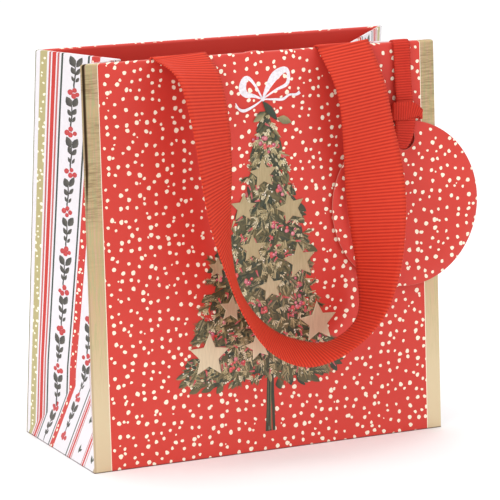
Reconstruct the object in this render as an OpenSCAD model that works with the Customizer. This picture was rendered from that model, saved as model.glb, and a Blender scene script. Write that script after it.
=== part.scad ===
// Paper gift bag with folded side gussets, two ribbon handles and a round tag on a ribbon.
// Millimetres. +Z up, X along the front panel, the front faces -Y,
// and the origin is at the middle of the base, on the surface the bag stands on.

/* [Bag] */
// Width of the front and back panels
bag_w = 165; // [150:1:200]
// Height of the rim above the base
bag_h = 168; // [160:1:200]
// Depth of the base, front to back
base_d = 71; // [66:1:90]
// Depth of the mouth at the rim, front to back
mouth_d = 45; // [42:1:60]

/* [Card] */
// Thickness of the printed card
card_t = 0.5; // [0.4:0.05:0.6]
// Height of the turned-in hem below the rim
hem_h = 46; // [42:1:55]
// Thickness of the stiffening board inside each rim
rim_board_t = 1; // [0.8:0.1:1.2]
// Thickness of the loose board on the bottom
base_board_t = 1.2; // [0.8:0.1:2]

/* [Handles] */
// Width of the handle ribbon
ribbon_w = 25; // [20:1:28]
// Thickness of the handle ribbon
ribbon_t = 0.6; // [0.4:0.1:0.8]
// Distance between the middles of a handle's two legs
leg_gap = 76; // [70:1:84]
// How far below the rim each handle leaves its glued ends
ribbon_exit = 14; // [12:1:18]
// Length of each glued ribbon end
glued_h = 25; // [20:1:26]

/* [Tag] */
// Diameter of the tag
tag_d = 71; // [60:1:80]
// Thickness of the tag
tag_t = 0.6; // [0.5:0.1:0.8]
// Diameter of the hole in the tag
tag_hole_d = 10; // [9.5:0.1:11]
// Width of the tag's ribbon
tag_ribbon_w = 7.8; // [6:0.1:8]
// Sideways place of the tag's hole
tag_x = 66; // [60:0.5:68]
// Height of the tag's hole, measured up the front panel
tag_hole_z = 127.5; // [120:0.5:130]

/* [Hidden] */
$fn = 96;

// Colours
RED = [0.84, 0.19, 0.15];
RIBBON_RED = [0.86, 0.16, 0.10];
STRIPE = [0.93, 0.88, 0.84];
WHITE = [0.95, 0.94, 0.92];
BOARD = [0.72, 0.69, 0.64];

// Small gaps that keep neighbouring sheets apart
ply_gap = 0.1;
fold_gap = 0.3;
joint_gap = 0.4;

// The panels lean in from the base to the mouth
lean = atan2((base_d - mouth_d) / 2, bag_h);
panel_h = bag_h / cos(lean);

// Layers on the inside of a panel, as distances from its outer face
board_in = card_t + ply_gap;
hem_in = board_in + rim_board_t + ply_gap;
ribbon_in = hem_in + card_t + ply_gap;
corner_clear = 5.5;

// Bottom layers, as heights
flap_t = 0.4;
board_z = 3 * flap_t;
base_edge = base_d / 2 - card_t - 2 * joint_gap;

// Gusset creases. The sheet keeps its width, so its middle crease goes in as the panels close up.
half_sheet = base_d / 2;
crease_z = half_sheet;
half_at_crease = half_sheet - (base_d - mouth_d) / 2 * crease_z / bag_h;
apex_in = sqrt(half_sheet ^ 2 - half_at_crease ^ 2);
apex_z = sqrt(half_sheet ^ 2 - apex_in ^ 2);
rim_in = sqrt(half_sheet ^ 2 - (mouth_d / 2) ^ 2);
rim_crease_z = bag_h - (half_sheet - apex_z);

// Corners of the front half of the left gusset
base_corner = [-bag_w / 2, -base_d / 2, 0];
edge_low = [-bag_w / 2, -half_at_crease, crease_z];
edge_top = [-bag_w / 2, -mouth_d / 2, bag_h];
apex = [-bag_w / 2 + apex_in, 0, apex_z];
crease_top = [-bag_w / 2 + rim_in, 0, rim_crease_z];
gusset_rows = 8;

// Front handle. Each point is [x from the handle's middle, y from the rim, z from the rim],
// then the ribbon's turn about the vertical and the rise of its width, in degrees.
front_route = [
    [-38, -0.1, 1, 180, 0],
    [-35.5, -14, -7, 199, 7],
    [-34, -22, -26, 208, 4],
    [-33, -25, -45, 215, -1],
    [-31, -25, -63, 225, -7],
    [-27, -24.5, -82, 239, -11],
    [-20.5, -24, -100, 248, -13],
    [-9.5, -24, -115, 252, -17],
    [6, -24.5, -123.5, 260, -15],
    [24, -26.5, -122.5, 262, 4],
    [38, -27, -111.5, 266, 10],
    [43.5, -24, -93, 288, 10],
    [45.5, -19.5, -73, 312, 8],
    [45.5, -16, -54, 340, 5],
    [43.5, -14, -35, 362, 5],
    [41, -11, -15.5, 368, 3],
    [38, -0.1, 1, 360, 0]
];

// Left half of the back handle, which hangs inside. Each point is [x, y, z] from the middle of
// the line where the ribbon leaves the hem, then the same two angles.
back_half_route = [
    [-38, -2.4, -0.5, 180, 0],
    [-38.5, -3.2, -15, 180, 0],
    [-41, -3.6, -34, 186, 0],
    [-45, -3.8, -55, 195, 0],
    [-47.5, -3.8, -76, 208, 0],
    [-46, -3.6, -96, 222, 0],
    [-39, -3.4, -115, 238, 0],
    [-24, -3.4, -132, 254, 0],
    [0, -3.4, -142, 270, 0]
];
back_route = concat(
    back_half_route,
    [for (i = [len(back_half_route) - 2:-1:0])
        let (p = back_half_route[i]) [-p[0], p[1], p[2], 540 - p[3], p[4]]]
);
steps = 4;

// Tag and its ribbon, in the front panel's own plane: y is the distance in front of the panel
tag_y = 1.2;
tag_centre_z = tag_hole_z - 28;
tag_ribbon_t = 0.8;
hitch_w = 15;
hitch_z = tag_hole_z + 9.7;
hitch_h = 7.5;
hitch_t = 0.4;
hitch_y = 4.4;

// Functions
function unit(v) = v / norm(v);
function lerp(a, b, t) = a + (b - a) * t;

// Catmull-Rom curve through a list of points, with the ends repeated
function at(p, i) = p[max(0, min(len(p) - 1, i))];
function spline_point(p, i, t) =
    0.5 * (2 * at(p, i) + (at(p, i + 1) - at(p, i - 1)) * t
        + (2 * at(p, i - 1) - 5 * at(p, i) + 4 * at(p, i + 1) - at(p, i + 2)) * t ^ 2
        + (3 * at(p, i) - at(p, i - 1) - 3 * at(p, i + 1) + at(p, i + 2)) * t ^ 3);
function spline(p) = concat(
    [for (i = [0:len(p) - 2], k = [0:steps - 1]) spline_point(p, i, k / steps)],
    [p[len(p) - 1]]
);

// One rectangular section of a ribbon at ring i of a smoothed route. Its width is square to the
// route, except at the two ends, where it lies along the fold.
function xyz(r) = [r[0], r[1], r[2]];
function tangent(r, i) = unit(xyz(at(r, i + 1)) - xyz(at(r, i - 1)));
function across(r, i) =
    let (t = tangent(r, i),
         w = [cos(r[i][3]) * cos(r[i][4]), sin(r[i][3]) * cos(r[i][4]), sin(r[i][4])])
    i == 0 || i == len(r) - 1 ? w : unit(w - t * (w * t));
function ribbon_section(r, i, w, t) =
    let (a = across(r, i) * w / 2, n = unit(cross(tangent(r, i), a)) * t / 2, c = xyz(r[i]))
    [c - a - n, c + a - n, c + a + n, c - a + n];

// A solid through a list of four-cornered sections. Its two broad faces are split along the same
// diagonals, so a twisted sheet keeps its thickness.
module loft(sections) {
    rings = len(sections);
    last = 4 * (rings - 1);
    polyhedron(
        points = [for (s = sections) each s],
        faces = concat(
            [[0, 1, 2], [0, 2, 3]],
            [for (i = [0:rings - 2], k = [0:3])
                let (a = 4 * i + k, b = 4 * i + (k + 1) % 4)
                each k < 2 ? [[a, a + 4, b], [b, a + 4, b + 4]] : [[a, a + 4, b + 4], [a, b + 4, b]]],
            [[last, last + 2, last + 1], [last, last + 3, last + 2]]
        )
    );
}

module ribbon(route, w, t) {
    r = spline(route);
    loft([for (i = [0:len(r) - 1]) ribbon_section(r, i, w, t)]);
}

// A flat three-cornered plate. Each corner is drawn in from its two edges by a distance,
// and off[i] belongs to the edge opposite corner i.
function corner_of(p, off, i) =
    let (j = (i + 1) % 3, k = (i + 2) % 3,
         area2 = norm(cross(p[1] - p[0], p[2] - p[0])),
         bj = off[j] * norm(p[i] - p[k]) / area2,
         bk = off[k] * norm(p[i] - p[j]) / area2)
    p[i] * (1 - bj - bk) + p[j] * bj + p[k] * bk;

module triangle_plate(p, off, t) {
    q = [for (i = [0:2]) corner_of(p, off, i)];
    n = unit(cross(p[1] - p[0], p[2] - p[0])) * t;
    polyhedron(
        points = [q[0], q[1], q[2], q[0] + n, q[1] + n, q[2] + n],
        faces = [[0, 1, 2], [5, 4, 3], [0, 3, 4], [0, 4, 1], [1, 4, 5], [1, 5, 2], [2, 5, 3], [2, 3, 0]]
    );
}

// The upper front half of the left gusset between two distances from its outer face.
// It twists a little from the apex to the rim. v_low is where it starts, as a share of its height.
function gusset_point(u, v) = lerp(lerp(edge_low, edge_top, v), lerp(apex, crease_top, v), u);
function gusset_in(v) =
    let (along = gusset_point(1, v) - gusset_point(0, v),
         up = lerp(edge_top - edge_low, crease_top - apex, 0.5))
    unit(cross(along, up));
function gusset_section(v, u0, u1, out_t, in_t) =
    let (n = gusset_in(v), a = gusset_point(u0, v), b = gusset_point(u1, v))
    [a + n * out_t, a + n * in_t, b + n * in_t, b + n * out_t];

module gusset_half(v_low, edge_inset, crease_inset, out_t, in_t) {
    u0 = edge_inset / half_sheet;
    u1 = 1 - crease_inset / half_sheet;
    loft([for (i = [0:gusset_rows])
        gusset_section(lerp(v_low, 1, i / gusset_rows), u0, u1, out_t, in_t)]);
}

// Placement of pieces that are drawn for one side
module on_front() { translate([0, -base_d / 2, 0]) rotate([-lean, 0, 0]) children(); }
module on_back() { mirror([0, 1, 0]) on_front() children(); }
module right() { mirror([1, 0, 0]) children(); }
module rear() { mirror([0, 1, 0]) children(); }

// A sheet on a panel: half width, lowest and highest edge, and its layer
module panel_sheet(half_w, z0, z1, y0, t) {
    translate([-half_w, y0, z0]) cube([2 * half_w, t, z1 - z0]);
}

// Pieces that both big panels have
module wall() { panel_sheet(bag_w / 2, fold_gap, panel_h, 0, card_t); }
module rim_board() {
    panel_sheet(bag_w / 2 - corner_clear, panel_h - hem_h + 6, panel_h - 0.6, board_in, rim_board_t);
}
module hem() { panel_sheet(bag_w / 2 - corner_clear, panel_h - hem_h, panel_h, hem_in, card_t); }
module glued_end(x) {
    z1 = panel_h - ribbon_exit;
    translate([x - ribbon_w / 2, ribbon_in, z1 - glued_h]) cube([ribbon_w, ribbon_t, glued_h]);
}

// The base
module bottom_outer_flap() {
    color(RED) translate([-bag_w / 2 + 1, 10 - base_d / 2, 0])
        cube([bag_w - 2, base_edge + base_d / 2 - 10, flap_t]);
}
module bottom_inner_flap() {
    color(RED) translate([-bag_w / 2 + 1, -base_edge, flap_t])
        cube([bag_w - 2, base_edge + base_d / 2 - 14, flap_t]);
}
module side_flap() {
    x0 = -bag_w / 2 + 1;
    color(WHITE) translate([0, 0, 2 * flap_t]) linear_extrude(flap_t)
        polygon([[x0, -base_edge], [x0 + 30, -base_edge + 30], [x0 + 30, base_edge - 30], [x0, base_edge]]);
}
module bottom_left_flap() { side_flap(); }
module bottom_right_flap() { right() side_flap(); }
module base_board() {
    color(BOARD) translate([-bag_w / 2 + 2, 0.5 - base_edge, board_z])
        cube([bag_w - 4, 2 * base_edge - 1, base_board_t]);
}

// The back panel
module back_panel() { color(RED) on_back() wall(); }
module back_rim_board() { color(BOARD) on_back() rim_board(); }
module back_hem() { color(RED) on_back() hem(); }
module glue_seam() {
    color(WHITE) on_back() translate([-bag_w / 2 + 2.5, board_in, base_board_t + 4])
        cube([12, flap_t, panel_h - hem_h - base_board_t - 6]);
}

// The front panel, which swings on its bottom edge
module front_panel() { color(RED) on_front() wall(); }
module front_rim_board() { color(BOARD) on_front() rim_board(); }
module front_hem() { color(RED) on_front() hem(); }

// The gussets
module gusset_upper() { color(STRIPE) gusset_half(0.003, 1.8, 0.3, 0, 0.4); }
module gusset_hem() {
    color(RED) gusset_half(1 - hem_h / (bag_h - crease_z), corner_clear + 1, 1, 0.5, 0.9);
}
module left_gusset_front() { gusset_upper(); }
module left_gusset_rear() { rear() gusset_upper(); }
module right_gusset_front() { right() gusset_upper(); }
module right_gusset_rear() { right() rear() gusset_upper(); }
module left_gusset_front_hem() { gusset_hem(); }
module left_gusset_rear_hem() { rear() gusset_hem(); }
module right_gusset_front_hem() { right() gusset_hem(); }
module right_gusset_rear_hem() { right() rear() gusset_hem(); }

// The facets below the level crease: two corners and one triangle on each side
module corner_facet() {
    color(STRIPE) triangle_plate([base_corner, apex, edge_low], [fold_gap, 1, joint_gap], 0.4);
}
module left_corner_front() { corner_facet(); }
module left_corner_rear() { rear() corner_facet(); }
module right_corner_front() { right() corner_facet(); }
module right_corner_rear() { right() rear() corner_facet(); }
module base_triangle() {
    rear_corner = [base_corner[0], -base_corner[1], 0];
    color(STRIPE) triangle_plate([base_corner, rear_corner, apex], [0.9, 0.9, fold_gap], 0.4);
}
module left_base_triangle() { base_triangle(); }
module right_base_triangle() { right() base_triangle(); }

// The handles
module front_handle() {
    color(RIBBON_RED) translate([0, -mouth_d / 2, bag_h]) ribbon(front_route, ribbon_w, ribbon_t);
}
module front_ribbon_end(x) {
    top = panel_h + 0.6;
    color(RIBBON_RED) on_front() {
        glued_end(x);
        translate([x - ribbon_w / 2, ribbon_in, panel_h - ribbon_exit - 0.01])
            cube([ribbon_w, ribbon_t, top + ribbon_t - panel_h + ribbon_exit]);
        translate([x - ribbon_w / 2, 0.6, top]) cube([ribbon_w, ribbon_in, ribbon_t]);
    }
}
module front_ribbon_left_end() { front_ribbon_end(-leg_gap / 2); }
module front_ribbon_right_end() { front_ribbon_end(leg_gap / 2); }

back_exit_y = base_d / 2 - (panel_h - ribbon_exit) * sin(lean) - ribbon_in;
module back_handle() {
    color(RIBBON_RED) translate([0, back_exit_y, bag_h - ribbon_exit])
        ribbon(back_route, ribbon_w, ribbon_t);
}
module back_ribbon_left_end() { color(RIBBON_RED) on_back() glued_end(-leg_gap / 2); }
module back_ribbon_right_end() { color(RIBBON_RED) on_back() glued_end(leg_gap / 2); }

// The tag, its strap and the hitch that ties them
module tag_ribbon_end() {
    top = panel_h + 0.6;
    color(RIBBON_RED) on_front() translate([tag_x - tag_ribbon_w / 2, 0, 0]) {
        translate([0, ribbon_in, panel_h - ribbon_exit - 8])
            cube([tag_ribbon_w, tag_ribbon_t, top - panel_h + ribbon_exit + 8 + tag_ribbon_t]);
        translate([0, 0.5, top]) cube([tag_ribbon_w, ribbon_in, tag_ribbon_t]);
    }
}
module tag_strap() {
    top = panel_h + 0.6 + tag_ribbon_t;
    margin = tag_hole_z + 3.8;
    color(RIBBON_RED) on_front() translate([tag_x - tag_ribbon_w / 2, 0, 0])
        rotate([90, 0, 90]) linear_extrude(tag_ribbon_w) polygon([
            [0.1, top], [-1.4, top], [-1.9, top - 2], [-1.9, hitch_z + hitch_h + 4],
            [-3.2, hitch_z + hitch_h], [-3.3, margin], [-1, tag_hole_z - 1],
            [-0.9, tag_hole_z + 0.4], [-2.4, margin], [-2.4, hitch_z + hitch_h],
            [-1.1, hitch_z + hitch_h + 4], [-1.1, top - 2], [-0.8, top - tag_ribbon_t],
            [0.1, top - tag_ribbon_t]
        ]);
}
module tag_hitch() {
    color(RIBBON_RED) on_front() translate([tag_x, 0, 0]) {
        difference() {
            translate([-hitch_w / 2, -hitch_y, hitch_z]) cube([hitch_w, hitch_y - 0.4, hitch_h]);
            translate([hitch_t - hitch_w / 2, hitch_t - hitch_y, hitch_z - 1])
                cube([hitch_w - 2 * hitch_t, hitch_y - 0.4 - 2 * hitch_t, hitch_h + 2]);
        }
        translate([-tag_ribbon_w / 2, -0.4 - hitch_t, tag_hole_z - 4])
            cube([tag_ribbon_w, hitch_t, hitch_z - tag_hole_z + 4.5]);
    }
}
module tag_card() {
    color(RED) on_front() translate([tag_x, -tag_y, 0]) rotate([90, 0, 0]) difference() {
        translate([0, tag_centre_z, 0]) cylinder(d = tag_d, h = tag_t);
        translate([0, tag_hole_z, -1]) cylinder(d = tag_hole_d, h = tag_t + 2);
    }
}

bottom_outer_flap();
bottom_inner_flap();
bottom_left_flap();
bottom_right_flap();
base_board();
back_panel();
back_rim_board();
back_hem();
glue_seam();
front_panel();
front_rim_board();
front_hem();
left_gusset_rear();
right_gusset_rear();
left_gusset_front();
right_gusset_front();
left_gusset_rear_hem();
right_gusset_rear_hem();
left_gusset_front_hem();
right_gusset_front_hem();
left_corner_rear();
right_corner_rear();
left_corner_front();
right_corner_front();
left_base_triangle();
right_base_triangle();
front_handle();
front_ribbon_left_end();
front_ribbon_right_end();
back_handle();
back_ribbon_left_end();
back_ribbon_right_end();
tag_ribbon_end();
tag_strap();
tag_hitch();
tag_card();
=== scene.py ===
"""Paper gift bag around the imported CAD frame. Metres, +Z up, the front faces -Y."""
import math
import random

import bmesh
import bpy
import numpy as np
from mathutils import Matrix, Vector


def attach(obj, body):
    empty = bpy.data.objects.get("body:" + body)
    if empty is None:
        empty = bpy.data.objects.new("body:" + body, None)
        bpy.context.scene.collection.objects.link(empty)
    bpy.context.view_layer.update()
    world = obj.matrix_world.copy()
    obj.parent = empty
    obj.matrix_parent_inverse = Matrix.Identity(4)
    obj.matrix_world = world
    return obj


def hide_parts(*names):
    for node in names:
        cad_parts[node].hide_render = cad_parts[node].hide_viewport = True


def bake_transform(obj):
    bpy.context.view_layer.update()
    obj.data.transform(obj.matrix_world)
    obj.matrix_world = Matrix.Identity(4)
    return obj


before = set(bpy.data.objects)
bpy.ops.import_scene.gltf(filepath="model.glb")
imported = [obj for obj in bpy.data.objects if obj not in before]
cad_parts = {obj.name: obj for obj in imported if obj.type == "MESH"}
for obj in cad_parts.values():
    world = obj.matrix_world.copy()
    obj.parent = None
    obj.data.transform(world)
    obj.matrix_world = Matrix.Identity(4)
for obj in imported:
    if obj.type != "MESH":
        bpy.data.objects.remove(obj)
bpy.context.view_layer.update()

MM = 0.001

# ---------------------------------------------------------------- camera, floor and light

# The photo's camera, fitted to the bag's corners: angles in degrees, distances in metres
AZIMUTH, ELEVATION, ROLL = -27.148, 12.475, 0.376
DISTANCE, TO_RIGHT, BELOW = 1.3484, 0.005996, 0.000692
SENSOR, LENS, CLIP_END = 36, 227.71, 20
MIDDLE = (0, 0, 0.08)  # the camera stands off from here, and the lights aim at it
WORLD_STRENGTH = 0.96
FLOOR_SIZE, FLOOR_WHITE = 6, (0.97, 0.97, 0.97, 1)
# Name, place, edge in metres and power in watts
LAMPS = [("key", (-1.25, -0.5, 1.1), 0.8, 7), ("fill", (1.15, -0.7, 1.2), 0.8, 2),
         ("top", (0, 0.3, 1.5), 1.2, 6)]


def make_camera():
    azimuth, elevation, roll = (math.radians(a) for a in (AZIMUTH, ELEVATION, ROLL))
    back = Vector((math.sin(azimuth) * math.cos(elevation), -math.cos(azimuth) * math.cos(elevation),
                   math.sin(elevation)))
    level = Vector((math.cos(azimuth), math.sin(azimuth), 0))
    upright = back.cross(level)
    right = level * math.cos(roll) + upright * math.sin(roll)
    up = upright * math.cos(roll) - level * math.sin(roll)
    place = back * DISTANCE + right * TO_RIGHT - up * BELOW + Vector(MIDDLE)
    data = bpy.data.cameras.new("camera")
    data.sensor_width = SENSOR
    data.lens = LENS
    data.clip_end = CLIP_END
    camera = bpy.data.objects.new("camera", data)
    camera.matrix_world = Matrix.Translation(place) @ Matrix((right, up, back)).transposed().to_4x4()
    bpy.context.collection.objects.link(camera)
    bpy.context.scene.camera = camera


def area_light(name, place, size, power):
    data = bpy.data.lights.new(name, "AREA")
    data.shape = "SQUARE"
    data.size = size
    data.energy = power
    light = bpy.data.objects.new(name, data)
    aim = Vector(MIDDLE) - Vector(place)
    light.matrix_world = Matrix.Translation(place) @ aim.to_track_quat("-Z", "Y").to_matrix().to_4x4()
    bpy.context.collection.objects.link(light)


def make_studio():
    bpy.context.scene.view_settings.view_transform = "Standard"
    world = bpy.data.worlds.new("studio")
    bpy.context.scene.world = world
    world.use_nodes = True
    background = world.node_tree.nodes["Background"]
    background.inputs["Color"].default_value = (1, 1, 1, 1)
    background.inputs["Strength"].default_value = WORLD_STRENGTH
    for lamp in LAMPS:
        area_light(*lamp)
    bpy.ops.mesh.primitive_plane_add(size=FLOOR_SIZE)
    floor = bpy.context.object
    floor.name = "floor"
    paint = Paint("floor_paint")
    paint.shader_values(Base_Color=FLOOR_WHITE, Roughness=0.9)
    floor.data.materials.append(paint.material)


# ---------------------------------------------------------------- node helpers


class Paint:
    """A material and short calls for the nodes used here."""

    def __init__(self, name):
        self.material = bpy.data.materials.new(name)
        self.material.use_nodes = True
        self.tree = self.material.node_tree
        self.shader = self.tree.nodes["Principled BSDF"]

    def put(self, socket, value):
        if isinstance(value, bpy.types.NodeSocket):
            self.tree.links.new(value, socket)
        else:
            socket.default_value = value

    def shader_values(self, **values):
        """Sets inputs of the shader, each to a plain value or to a node's output"""
        for name, value in values.items():
            self.put(self.shader.inputs[name.replace("_", " ")], value)

    def node(self, kind, inputs=None, **settings):
        node = self.tree.nodes.new(kind)
        for name, value in settings.items():
            setattr(node, name, value)
        for name, value in (inputs or {}).items():
            self.put(node.inputs[name], value)
        return node

    def math(self, operation, *values):
        return self.node("ShaderNodeMath", dict(enumerate(values)), operation=operation).outputs[0]

    def times(self, a, b):
        return self.math("MULTIPLY", a, b)

    def vector(self, operation, a, b):
        return self.node("ShaderNodeVectorMath", {0: a, 1: b}, operation=operation).outputs[0]

    def mix(self, factor, a, b):
        return self.node("ShaderNodeMix", {0: factor, 6: a, 7: b}, data_type="RGBA").outputs[2]

    def xyz(self, vector):
        return self.node("ShaderNodeSeparateXYZ", {0: vector}).outputs

    def noise(self, vector, scale, detail=2.0, roughness=0.5, stretch=None, output=0):
        if stretch:
            vector = self.vector("MULTIPLY", vector, stretch)
        inputs = {"Vector": vector, "Scale": scale, "Detail": detail, "Roughness": roughness}
        return self.node("ShaderNodeTexNoise", inputs).outputs[output]

    def between(self, value, low, high):
        return self.times(self.math("GREATER_THAN", value, low), self.math("LESS_THAN", value, high))

    def rising(self, value, low, high):
        """0 below low, 1 above high and a soft change between them"""
        inputs = {0: value, 1: low, 2: high}
        return self.node("ShaderNodeMapRange", inputs, interpolation_type="SMOOTHSTEP").outputs[0]

    def wave(self, operation, value, pitch):
        """A sine or cosine of value, from 0 to 1"""
        turn = self.times(value, 2 * math.pi / pitch)
        return self.math("MULTIPLY_ADD", self.math(operation, turn), 0.5, 0.5)

    def either(self, *masks):
        total = masks[0]
        for mask in masks[1:]:
            total = self.math("MAXIMUM", total, mask)
        return total

    def steps(self, value, bands):
        """1 inside each band of value, 0 elsewhere"""
        ramp = self.node("ShaderNodeValToRGB", {0: value})
        ramp.color_ramp.interpolation = "CONSTANT"
        elements = ramp.color_ramp.elements
        elements[1].position = 1
        elements[1].color = (0, 0, 0, 1)
        elements[0].color = (0, 0, 0, 1)
        for low, high in bands:
            elements.new(low).color = (1, 1, 1, 1)
            elements.new(high).color = (0, 0, 0, 1)
        return ramp.outputs[0]

    def sheet_mm(self):
        """The sheet's UV map, which is in mm"""
        return self.node("ShaderNodeUVMap", uv_map="sheet").outputs[0]

    def place(self):
        """The object's own coordinates, in metres"""
        return self.node("ShaderNodeTexCoord").outputs["Object"]

    def bump(self, height, distance, strength):
        inputs = {"Height": height, "Distance": distance, "Strength": strength}
        self.shader_values(Normal=self.node("ShaderNodeBump", inputs).outputs[0])


# ---------------------------------------------------------------- materials

RED = (0.68, 0.058, 0.040, 1)
RED_DEEP = (0.60, 0.042, 0.030, 1)
CREAM = (0.95, 0.89, 0.70, 1)
WHITE, WHITE_LIGHT = (0.76, 0.73, 0.76, 1), (0.81, 0.785, 0.81, 1)
STRIPE_RED = (0.58, 0.050, 0.040, 1)
STRIPE_PINK = (0.52, 0.13, 0.12, 1)
STRIPE_DARK = (0.06, 0.075, 0.065, 1)
OLIVE = (0.47, 0.41, 0.20, 1)
RIM_FOLD_HIGHLIGHT, FOOT_DARK = (0.9, 0.6, 0.5, 1), (0.07, 0.035, 0.035, 1)
GOLD_LOW_REFLECTION, GOLD_HIGH_REFLECTION = (0.69, 0.56, 0.36, 1), (0.59, 0.43, 0.235, 1)
GOLD_GREEN, GOLD_ROSE = (0.50, 0.45, 0.24, 1), (0.62, 0.42, 0.28, 1)
GOLD_SHADE, GOLD_EDGE = (0.24, 0.16, 0.08, 1), (0.95, 0.85, 0.68, 1)
GOLD_CREASE_SHADOW, GOLD_FOLD = (0.030, 0.014, 0.005, 1), (0.32, 0.22, 0.14, 1)
GOLD_BACK_FOLD = (0.17, 0.17, 0.10, 1)
STAR_LOW_REFLECTION = (0.60, 0.49, 0.32, 1), (0.84, 0.71, 0.50, 1)
STAR_HIGH_REFLECTION = (0.34, 0.26, 0.13, 1), (0.58, 0.46, 0.27, 1)

HALF_FRONT = 82.5  # half of the front panel, mm
GUSSET = 71.0      # flat width of a gusset, mm
BACK_FOLD = HALF_FRONT + GUSSET
FOLD_V = 168.5     # the rim, measured up the sheet, mm
STRIP_IN = 7.2     # how far the gold strips reach in from the panels' edges, mm
STRIP_ROUND = 2.2  # how far they reach round onto the gussets, mm
CELL = 4.3         # mm between dots

# Stripes across a gusset, as shares of its width from the back fold
RED_LINES = [(0.103, 0.126), (0.340, 0.392), (0.622, 0.642), (0.812, 0.832)]
PINK_LINES = [(0.085, 0.094), (0.136, 0.145), (0.605, 0.614), (0.651, 0.660), (0.795, 0.804), (0.841, 0.850)]
DARK_LINES = [(0.157, 0.168), (0.318, 0.329), (0.574, 0.585)]
OLIVE_BAND = [(0.030, 0.073)]
SPECKLED = OLIVE_BAND + [(0.345, 0.387)]
STRIPES = [(RED_LINES, STRIPE_RED), (PINK_LINES, STRIPE_PINK), (DARK_LINES, STRIPE_DARK), (OLIVE_BAND, OLIVE)]


def dots(paint, vector, cell, smallest, spread):
    """Round, slightly uneven dots: 1 inside a dot, 0 outside"""
    wobble = paint.noise(vector, 0.55, 1.0, output="Color")
    moved = paint.vector("ADD", vector, paint.vector("MULTIPLY", wobble, (0.9, 0.9, 0)))
    cells = paint.node("ShaderNodeTexVoronoi", {"Vector": moved, "Scale": 1 / cell, "Randomness": 0.76},
                       voronoi_dimensions="2D")
    pick = paint.xyz(cells.outputs["Color"])[0]
    limit = paint.math("MULTIPLY_ADD", paint.math("POWER", pick, 1.4), spread / cell, smallest / cell)
    return paint.math("LESS_THAN", cells.outputs["Distance"], limit)


def dotted_red(paint, flat, red):
    """Cream dots of two sizes on red"""
    large = dots(paint, flat, CELL, 0.60, 0.38)
    small = dots(paint, paint.vector("ADD", flat, (571.0, 333.0, 0)), CELL * 2.9, 0.3, 0.45)
    return paint.mix(paint.either(large, small), red, CREAM)


def card_surface(paint, flat):
    """Fine unevenness of laminated card"""
    paint.bump(paint.noise(flat, 0.9, 3.0), 0.00006, 0.35)


def striped_colour(paint, flat, around):
    """The gussets' stripes on white, two of them speckled with cream"""
    across = paint.math("DIVIDE", paint.math("SUBTRACT", BACK_FOLD, around), GUSSET)
    striped = paint.mix(paint.noise(flat, 0.2), WHITE_LIGHT, WHITE)
    for bands, ink in STRIPES:
        striped = paint.mix(paint.steps(across, bands), striped, ink)
    speckle = paint.times(paint.steps(across, SPECKLED), dots(paint, flat, 3.0, 0.42, 0.35))
    return paint.mix(speckle, striped, CREAM)


def brushed_gold(paint, flat, v):
    """Foil whose painted reflection darkens it up the bag, with upright streaks and fine brushing across"""
    # painted reflection: the foil goes from pale cream low on the bag to darker olive gold higher up, where
    # the tinted streaks also lie
    high = paint.rising(v, 20.0, 82.0)
    gold = paint.mix(high, GOLD_LOW_REFLECTION, GOLD_HIGH_REFLECTION)
    streaks = paint.noise(flat, 1.0, 3.0, 0.6, stretch=(1.0, 0.04, 1))
    for low, top, tint in ((0.52, 0.60, GOLD_GREEN), (0.36, 0.43, GOLD_ROSE)):
        gold = paint.mix(paint.times(paint.between(streaks, low, top), high), gold, tint)
    brushing = paint.noise(flat, 1.3, 3.0, 0.75, stretch=(0.10, 1.0, 1))
    patches = paint.noise(flat, 0.055, 1.0, stretch=(0.5, 1.0, 1))
    # darker brushed patches high on the bag: painted shade in the foil's reflection
    shade = paint.times(paint.rising(brushing, 0.35, 0.70), paint.rising(patches, 0.35, 0.60))
    shade = paint.times(shade, paint.rising(v, 70.0, 120.0))
    return paint.mix(paint.times(shade, 0.75), gold, GOLD_SHADE)


def gold_colour(paint, flat, u, around, v):
    """The strips' foil, with a bright inner edge, a painted crease shadow on the left and darker folds"""
    gold = brushed_gold(paint, flat, v)
    left, right = STRIP_IN - HALF_FRONT, HALF_FRONT - STRIP_IN
    inner_edge = paint.either(paint.between(u, left + 0.5, left + 0.8), paint.between(u, right, right + 0.3))
    gold = paint.mix(inner_edge, gold, GOLD_EDGE)
    width = paint.times(paint.rising(v, 100.0, 128.0), 1.5)
    # painted shadow: a dark band just inside the left crease that widens up the bag
    into_crease = paint.rising(u, 0.7 - HALF_FRONT, 1.1 - HALF_FRONT)
    past = paint.math("SUBTRACT", paint.math("ADD", width, 1.1 - HALF_FRONT), u)
    crease = paint.times(paint.times(into_crease, paint.rising(past, 0.0, 0.8)), 0.97)
    gold = paint.mix(crease, gold, GOLD_CREASE_SHADOW)
    fold = paint.between(u, -HALF_FRONT - STRIP_ROUND, 0.9 - HALF_FRONT)
    gold = paint.mix(paint.times(fold, 0.40), gold, GOLD_FOLD)
    from_back = paint.math("ABSOLUTE", paint.math("SUBTRACT", around, BACK_FOLD))
    return paint.mix(paint.times(paint.math("LESS_THAN", from_back, 0.6), 0.8), gold, GOLD_BACK_FOLD)


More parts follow.
